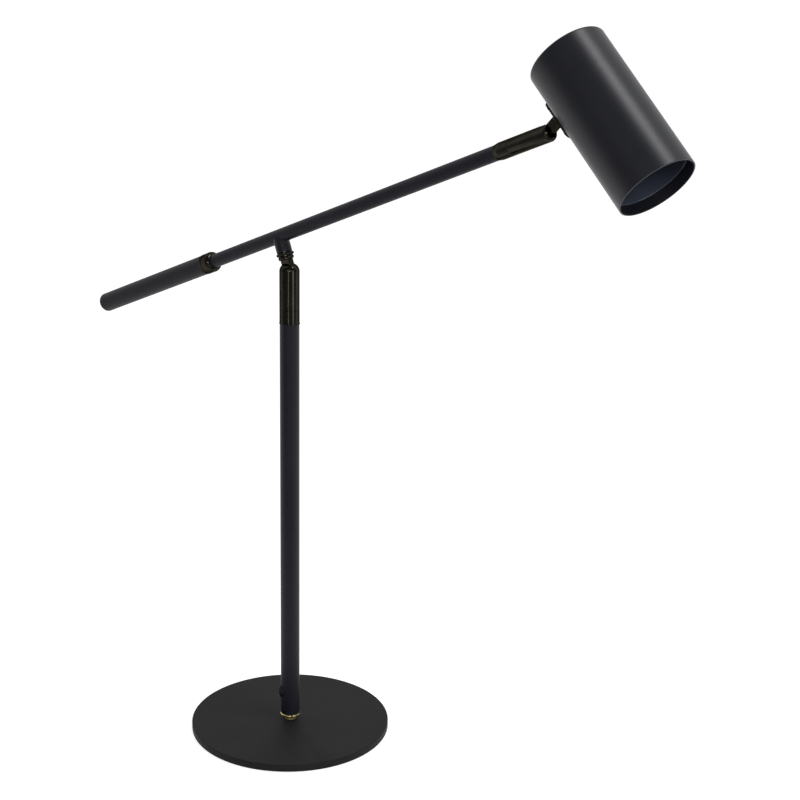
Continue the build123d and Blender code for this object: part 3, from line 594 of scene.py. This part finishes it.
# ---- base, brass seat and stem ----
def make_foot():
    merged_piece("base_plate", edge=0.25)
    merged_piece("base_pad", edge=0.2)
    merged_piece("cord_bush", edge=0.25)
    round_piece("brass_spacer", UPRIGHT, (THREAD_RADIUS, PLATE_TOP), (SPACER_RADIUS, PLATE_TOP, FINE_EDGE),
                (SPACER_RADIUS, SEAT_BOTTOM, FINE_EDGE), (THREAD_RADIUS, SEAT_BOTTOM))
    round_piece("brass_seat_ring", UPRIGHT, (THREAD_RADIUS, SEAT_BOTTOM),
                (SEAT_FOOT_RADIUS, SEAT_BOTTOM, SMALL_EDGE), (SEAT_RADIUS, SEAT_CONE_TOP, 0.5),
                (SEAT_RADIUS, SEAT_TOP, 1.0), (THREAD_RADIUS, SEAT_TOP))
    ends = STEM_RADIUS - END_BEVEL
    outline = ((ends, SEAT_TOP), (STEM_RADIUS, SEAT_TOP, DEBURRED), (STEM_RADIUS, STEM_TOP, DEBURRED),
               (ends, STEM_TOP))
    pierced_wall("stem_tube", UPRIGHT, outline, STEM_WALL, SWITCH_HEIGHT, SWITCH_DIRECTION % 360,
                 SWITCH_HOLE_RADIUS)


def make_switch():
    """The button's top is a shallow cup: its floor lies 0.25 mm under the rim."""
    merged_piece("switch_bezel", edge=0.3)
    merged_piece("switch_body", edge=0.2)
    cap = soft_profile((0, DISH_FLOOR), (DISH_FLOOR_RADIUS, DISH_FLOOR, 0.8),
                       (DISH_RIM_RADIUS, BUTTON_TOP, SOFT_EDGE), (BUTTON_RADIUS, BUTTON_TOP, 0.5),
                       (BUTTON_RADIUS, BUTTON_FOOT, SOFT_EDGE), (0, BUTTON_FOOT))
    dress(surface("switch_button_cap", revolved(cap, AROUND_SMALL), SWITCH), "switch_button")


# ---- stem joint, knuckle and branch ----
def make_stem_joint():
    round_piece("stem_joint_ring", UPRIGHT, (JOINT_RADIUS, STEM_TOP, SMALL_EDGE),
                (JOINT_RADIUS, SEAM_HEIGHT, SOFT_EDGE),
                (POST_HOLE_RADIUS, SEAM_HEIGHT), (POST_HOLE_RADIUS, CAVITY_TOP),
                (CAVITY_RADIUS, CAVITY_TOP), (CAVITY_RADIUS, SPIGOT_FOOT),
                (SPIGOT_RADIUS, SPIGOT_FOOT), (SPIGOT_RADIUS, STEM_TOP))
    merged_piece("stem_joint_body", edge=0.3)
    merged_piece("arm_hinge_pin", edge=0.15)
    merged_piece("arm_knuckle", edge=0.3)


def make_collar():
    """Collar profile: at each height the largest of the waist's radius and the two beads',
    a bead's being its centre radius plus sqrt(bead radius squared - distance squared)."""
    height = np.linspace(COLLAR_BOTTOM, COLLAR_TOP, BEAD_STEPS)
    radius = np.full_like(height, COLLAR_WAIST)
    for middle, centre in COLLAR_BEADS:
        under = COLLAR_BEAD_RADIUS ** 2 - (height - middle) ** 2
        radius = np.maximum(radius, np.where(under > 0, centre + np.sqrt(np.maximum(under, 0)), 0))
    outside = np.stack((radius, height), axis=-1)
    profile = np.concatenate(([(COLLAR_BORE, COLLAR_BOTTOM)], outside, [(COLLAR_BORE, COLLAR_TOP)],
                              [(COLLAR_BORE, COLLAR_BOTTOM)]))
    dress(surface("knuckle_collar_beads", revolved(profile), ARM), "knuckle_collar")


def saddle_height(y):
    """Height of the arm's underside above the pivot, at a distance y to the side of the arm."""
    return ARM_OFFSET - np.sqrt(np.maximum(ARM_RADIUS ** 2 - y ** 2, (ARM_OFFSET - BRANCH_TOP) ** 2))


def make_branch():
    """Branch wall: outer and inner circles run up from the collar to the arm's underside,
    at the height that saddle_height gives for each point's side distance."""
    angle = np.linspace(0, 2 * math.pi, AROUND + 1)[:, None]
    radius = np.array((BRANCH_RADIUS, BRANCH_RADIUS, BRANCH_BORE, BRANCH_BORE, BRANCH_RADIUS))
    x, y = radius * np.cos(angle), radius * np.sin(angle)
    top = np.array((0, 1, 1, 0, 0))
    height = COLLAR_TOP * (1 - top) + saddle_height(y) * top
    dress(surface("branch_tube_wall", np.stack((x, y, height), axis=-1), ARM), "branch_tube")


def make_weld_fillet():
    """Ground weld between branch and arm: at each angle a curve leaves the branch's side 2.8 mm
    under the joint line, bends towards that line, and ends on the arm up to 3 mm outside it. Its
    point at share t is (1-t)^2 side + 2t(1-t) line + t^2 arm, and an inner line closes it."""
    angle = np.linspace(0, 2 * math.pi, AROUND + 1)
    across, aside = np.cos(angle), np.sin(angle)

    def line_at(x_reach, y_reach, drop):
        """Closed line at these reaches along and across the arm, that far under its underside."""
        return np.stack((x_reach * across, y_reach * aside, saddle_height(y_reach * aside) - drop), axis=-1)

    skin = BRANCH_RADIUS + WELD_PROUD
    side = line_at(skin, skin, WELD_DROP)
    joint = line_at(skin, skin, 0.0)
    on_arm = line_at(BRANCH_RADIUS + WELD_REACH, WELD_ASIDE, -WELD_PROUD)
    inner = line_at(BRANCH_RADIUS - WELD_INSET_ALONG, WELD_ASIDE - WELD_INSET_ASIDE, -WELD_SUNK)
    share = np.linspace(0, 1, WELD_STEPS)[:, None, None]
    bend = (1 - share) ** 2 * side + 2 * share * (1 - share) * joint + share ** 2 * on_arm
    rows = np.concatenate((bend, inner[None], side[None]))
    dress(surface("branch_weld_fillet", rows, ARM), "branch_tube", stands_for=False)


# ---- arm and counterweight ----
def make_arm():
    round_piece("arm_tube", ARM_AXIS, (ARM_BORE, ARM_START), (ARM_RADIUS, ARM_START, FINE_EDGE),
                (ARM_RADIUS, ARM_END, FINE_EDGE), (ARM_BORE, ARM_END))
    outline = ((0, WEIGHT_END), (WEIGHT_RADIUS, WEIGHT_END, WEIGHT_END_ROUND),
               (WEIGHT_RADIUS, WEIGHT_FRONT, SMALL_EDGE), (WEIGHT_FRONT_RADIUS, WEIGHT_FRONT))
    pierced_wall("counterweight", ARM_AXIS, outline, WEIGHT_WALL, GRUB_PLACE, 0.0, GRUB_HOLE_RADIUS)
    merged_piece("counterweight_grub_screw", edge=0.12)


def make_weight_collar():
    """Collar profile: a foot, a groove 0.9 mm wide, and a quarter round of radius 4.2 that the
    bore for the arm cuts short, at the angle whose cosine is (bore - centre) / 4.2."""
    outside, rounding = WEIGHT_COLLAR_RADIUS, WEIGHT_COLLAR_ROUND
    top = WEIGHT_FRONT + WEIGHT_COLLAR_LENGTH
    foot = soft_profile((ARM_RADIUS, WEIGHT_FRONT), (outside, WEIGHT_FRONT, 0.25),
                        (outside, GROOVE_START, DEBURRED), (GROOVE_FLOOR_RADIUS, GROOVE_START, DEBURRED),
                        (GROOVE_FLOOR_RADIUS, GROOVE_END, DEBURRED), (outside, GROOVE_END, DEBURRED),
                        (outside, top))[:-1]
    centre = outside - rounding
    sweep = np.linspace(0, math.acos((ARM_RADIUS - centre) / rounding), SHOULDER_STEPS)
    shoulder = np.stack((centre + rounding * np.cos(sweep),
                         top - rounding + rounding * np.sin(sweep)), axis=-1)
    profile = np.concatenate((foot, shoulder, [(ARM_RADIUS, WEIGHT_FRONT)]))
    dress(surface("counterweight_collar_turned", revolved(profile), ARM_AXIS), "counterweight_collar")


# ---- head joint, neck and saddle ----
def make_head_joint():
    round_piece("head_joint_ring", ARM_AXIS, (HEAD_RING_LIP, HEAD_RING_START, FINE_EDGE),
                (HEAD_RADIUS, HEAD_RING_START + HEAD_RING_BEVEL, 1.0), (HEAD_RADIUS, HEAD_SEAM, SOFT_EDGE),
                (HEAD_POST_HOLE, HEAD_SEAM), (HEAD_POST_HOLE, HEAD_CAVITY_END),
                (HEAD_CAVITY_RADIUS, HEAD_CAVITY_END), (HEAD_CAVITY_RADIUS, ARM_END),
                (ARM_RADIUS, ARM_END), (ARM_RADIUS, HEAD_RING_START))
    merged_piece("head_joint_body", edge=0.3)
    merged_piece("head_hinge_pin", edge=0.15)
    merged_piece("head_knuckle", edge=0.3)
    merged_piece("saddle_plate", edge=0.25)


def cross_depth(x, y):
    """Depth of a cross recess at (x, y): 0.75 mm where a point lies within 0.4 mm of either
    arm's line and 1.5 mm of the middle, falling to nothing over 0.12 mm beyond."""
    x, y = np.abs(x), np.abs(y)
    outside = np.minimum(np.maximum(x - CROSS_LENGTH, y - CROSS_HALF_WIDTH),
                         np.maximum(y - CROSS_LENGTH, x - CROSS_HALF_WIDTH))
    return CROSS_DEPTH * np.clip(1 - outside / CROSS_SLOPE, 0, 1)


def make_saddle_screws():
    """Four pan heads, each a height over a round grid: a rim 0.7 mm high and on it a crown of
    0.6 (1 - (r / 2.5)^4), less the depth of its cross recess, over a plain 3 mm shank."""
    plate_top = SHADE_RADIUS + SADDLE_THICKNESS
    foot = np.array(((SCREW_HEAD_RADIUS, plate_top), (SCREW_SHANK_RADIUS, plate_top),
                     (SCREW_SHANK_RADIUS, SCREW_END), (0, SCREW_END)))
    rim = np.linspace(SCREW_CROWN_RADIUS + SCREW_RING_GAP, SCREW_HEAD_RADIUS, RIM_STEPS)
    radius = np.concatenate((np.linspace(0, SCREW_CROWN_RADIUS, CROWN_STEPS), rim, foot[:, 0]))
    angle = np.linspace(0, 2 * math.pi, AROUND_SMALL + 1)[:, None]
    x, y = radius * np.cos(angle), radius * np.sin(angle)
    crown = SCREW_RIM_HEIGHT + SCREW_CROWN_HEIGHT * (1 - (radius / SCREW_HEAD_RADIUS) ** 4)
    height = plate_top + crown - cross_depth(x, y)
    height[:, -len(foot):] = foot[:, 1]
    for side in (-1, 1):
        for end in (-1, 1):
            place = (SHADE @ moved_by(0, side * SCREW_ASIDE, SADDLE_FROM_RIM + end * SCREW_ALONG)
                     @ turned_by(90, "Y") @ turned_by(SCREW_TURN * end, "Z"))
            name = f"saddle_screw_head_{2 + side + (end + 1) // 2}"
            dress(surface(name, np.stack((x, y, height), axis=-1), place), "saddle_screws")


# ---- shade and what is inside it ----
def make_shade():
    round_piece("shade", SHADE, (SHADE_BORE, 0, SOFT_EDGE), (SHADE_RADIUS, 0, SOFT_EDGE),
                (SHADE_RADIUS, SHADE_LENGTH, SHADE_END_ROUND), (0, SHADE_LENGTH),
                (0, SHADE_INNER_END), (SHADE_BORE, SHADE_INNER_END, 0.8), around=AROUND_SHADE)
    round_piece("inner_sleeve", SHADE, (SLEEVE_BORE, SLEEVE_FRONT, 0.4),
                (SHADE_BORE, SLEEVE_FRONT, SMALL_EDGE),
                (SHADE_BORE, SLEEVE_BACK), (SLEEVE_BORE, SLEEVE_BACK, 0.4), around=AROUND_SHADE)
    merged_piece("holder_bracket", edge=0.3)
    merged_piece("lamp_holder", edge=0.5)
    merged_piece("holder_screws", edge=0.2)


def make_bulb():
    """Reflector cup: outside a rim and a cone, inside a dish whose depth falls with the square
    of its radius. The dish's radius is rippled by 24 scallops that fade at its floor and rim."""
    lip = REFLECTOR_FRONT - REFLECTOR_LIP
    outside = soft_profile((0, BULB_END), (BULB_BASE_RADIUS, BULB_END, 0.5),
                           (BULB_BASE_RADIUS, BULB_CONE_END, 3), (BULB_RADIUS, BULB_LIP, 1.5),
                           (BULB_RADIUS, BULB_FACE, 0.6), (BULB_MOUTH_RADIUS, BULB_FACE, SOFT_EDGE),
                           (BULB_MOUTH_RADIUS, lip), (REFLECTOR_RADIUS + REFLECTOR_LIP, lip))
    radius = np.linspace(REFLECTOR_RADIUS, 0, DISH_STEPS)
    depth = REFLECTOR_DEPTH * (1 - (radius / REFLECTOR_RADIUS) ** 2)
    dish = np.stack((radius, REFLECTOR_FRONT + depth), axis=-1)
    fade = np.concatenate((np.zeros(len(outside)), np.sin(np.pi * radius / REFLECTOR_RADIUS)))

    def scallops(angle):
        """Factor on the radius: it dips by the fade's share of the scallop depth."""
        return 1 - SCALLOP_DEPTH * fade * np.abs(np.cos(SCALLOPS / 2 * angle))

    cup = revolved(np.concatenate((outside, dish)), AROUND_REFLECTOR, scallops)
    dress(surface("bulb_reflector", cup, SHADE), "bulb")
    capsule = soft_profile((0, CAPSULE_FOOT), (CAPSULE_RADIUS, CAPSULE_FOOT),
                           (CAPSULE_RADIUS, CAPSULE_SHOULDER, 1.5),
                           (CAPSULE_TIP_RADIUS, CAPSULE_TIP_START, 0.8), (0, CAPSULE_TIP))
    dress(surface("bulb_capsule", revolved(capsule, AROUND_SMALL), SHADE), "bulb", quartz, stands_for=False)
    round_piece("bulb_lens", SHADE, (0, LENS_FRONT), (LENS_RADIUS, LENS_FRONT, 0.4),
                (LENS_RADIUS, LENS_BACK, SOFT_EDGE), (0, LENS_BACK))


make_foot()
make_switch()
make_stem_joint()
make_collar()
make_branch()
make_weld_fillet()
make_arm()
make_weight_collar()
make_head_joint()
make_saddle_screws()
make_shade()
make_bulb()


# ---- floor, backdrop light and lamps: places and sizes are in metres ----
BACKDROP_SIDE = (-0.6999, 0.7143, 0.0)      # from the lamp to the backdrop, away from the camera
SWEEP_EDGE = -0.3                           # where on that line the white sweep begins
SWEEP_SOFTNESS = 0.15
SWEEP_GLOW = 0.75
SKY_EDGE = 0.0                              # the same for directions, 0 being straight sideways
SKY_SOFTNESS = 0.2
ROOM_LIGHT = 0.2                            # how bright the room is against the white backdrop
SOFT_LIGHT = 0.42                           # even light on surfaces that are no mirrors
FLOOR_REACH = 60.0


def reckoned(tree, operation, first, second):
    """Result of a math node on two values."""
    return add(tree, "ShaderNodeMath", {0: first, 1: second}, operation=operation).outputs["Value"]


def white_share(tree, position, edge, softness):
    """How white the set is at a position, and whether the ray sees the set as it stands.

    The white sweep and backdrop fill the side behind the lamp, and the room in front of them
    is dim. The camera sees the whole set white, and mirrors and glass see it as it stands."""
    path = add(tree, "ShaderNodeLightPath").outputs
    behind = add(tree, "ShaderNodeVectorMath", {0: position, 1: BACKDROP_SIDE}, operation="DOT_PRODUCT")
    stands = add(tree, "ShaderNodeMapRange", {"Value": behind.outputs["Value"],
                                             "From Min": edge - softness, "From Max": edge + softness,
                                             "To Min": ROOM_LIGHT, "To Max": 1.0})
    white = reckoned(tree, "MAXIMUM", path["Is Camera Ray"], stands.outputs["Result"])
    seen = reckoned(tree, "MAXIMUM", path["Is Camera Ray"], path["Is Glossy Ray"])
    return white, reckoned(tree, "MAXIMUM", seen, path["Is Transmission Ray"])


def make_floor():
    mesh = bpy.data.meshes.new("floor")
    corners = [(x * FLOOR_REACH, y * FLOOR_REACH, 0) for x, y in ((-1, -1), (1, -1), (1, 1), (-1, 1))]
    mesh.from_pydata(corners, [], [(0, 1, 2, 3)])
    floor = bpy.data.objects.new("floor", mesh)
    bpy.context.scene.collection.objects.link(floor)
    material = bpy.data.materials.new("pale_floor")
    material.use_nodes = True
    tree = material.node_tree
    tree.nodes.clear()
    place = add(tree, "ShaderNodeTexCoord").outputs["Object"]
    white, seen = white_share(tree, place, SWEEP_EDGE, SWEEP_SOFTNESS)
    pale = add(tree, "ShaderNodeBsdfDiffuse", {"Color": linear("d4d4d4")})
    dim = add(tree, "ShaderNodeBsdfDiffuse", {"Color": linear("505052")})
    cover = add(tree, "ShaderNodeMixShader", {"Fac": white, 1: dim.outputs["BSDF"], 2: pale.outputs["BSDF"]})
    shown = reckoned(tree, "MULTIPLY", reckoned(tree, "MULTIPLY", white, seen), SWEEP_GLOW)
    glow = add(tree, "ShaderNodeEmission", {"Strength": shown})
    both = add(tree, "ShaderNodeAddShader", {0: cover.outputs["Shader"], 1: glow.outputs["Emission"]})
    add(tree, "ShaderNodeOutputMaterial", {"Surface": both.outputs["Shader"]})
    mesh.materials.append(material)


def make_world():
    world = bpy.data.worlds.new("studio")
    bpy.context.scene.world = world
    world.use_nodes = True
    tree = world.node_tree
    tree.nodes.clear()
    direction = add(tree, "ShaderNodeTexCoord").outputs["Generated"]
    white, seen = white_share(tree, direction, SKY_EDGE, SKY_SOFTNESS)
    strength = add(tree, "ShaderNodeMapRange", {"Value": seen, "To Min": SOFT_LIGHT, "To Max": white})
    light = add(tree, "ShaderNodeBackground", {"Color": linear("ffffff"),
                                               "Strength": strength.outputs["Result"]})
    add(tree, "ShaderNodeOutputWorld", {"Surface": light.outputs["Background"]})


def make_lamp(name, place, target, width, height, brightness):
    """Soft box: its power is brightness * pi * area, so brightness is what a mirror shows."""
    data = bpy.data.lights.new(name, "AREA")
    data.shape = "RECTANGLE"
    data.size, data.size_y = width, height
    data.energy = brightness * math.pi * width * height
    lamp = bpy.data.objects.new(name, data)
    lamp.location = place
    lamp.rotation_euler = (Vector(target) - Vector(place)).to_track_quat("-Z", "Y").to_euler()
    lamp.visible_camera = False
    bpy.context.scene.collection.objects.link(lamp)


make_floor()
make_world()
# Each lamp's place, the place it faces, its width and height, and its brightness. They stand
# where the highlights on the stem, the arm, the weight and the shade call for them.
make_lamp("overhead_softbox", (1.06, 0.37, 2.61), (0.3, 0, 0.6), 0.7, 0.7, 12.5)
make_lamp("tall_strip", (1.3, 0.0, 0.6), (0, 0, 0.4), 0.32, 1.15, 3.6)
make_lamp("thin_strip", (0.54, -0.72, 0.33), (0, 0, 0.33), 0.055, 0.64, 6.0)
make_lamp("front_strip", (0.98, -1.0, 1.04), (0, 0, 0.47), 1.1, 0.15, 8.0)
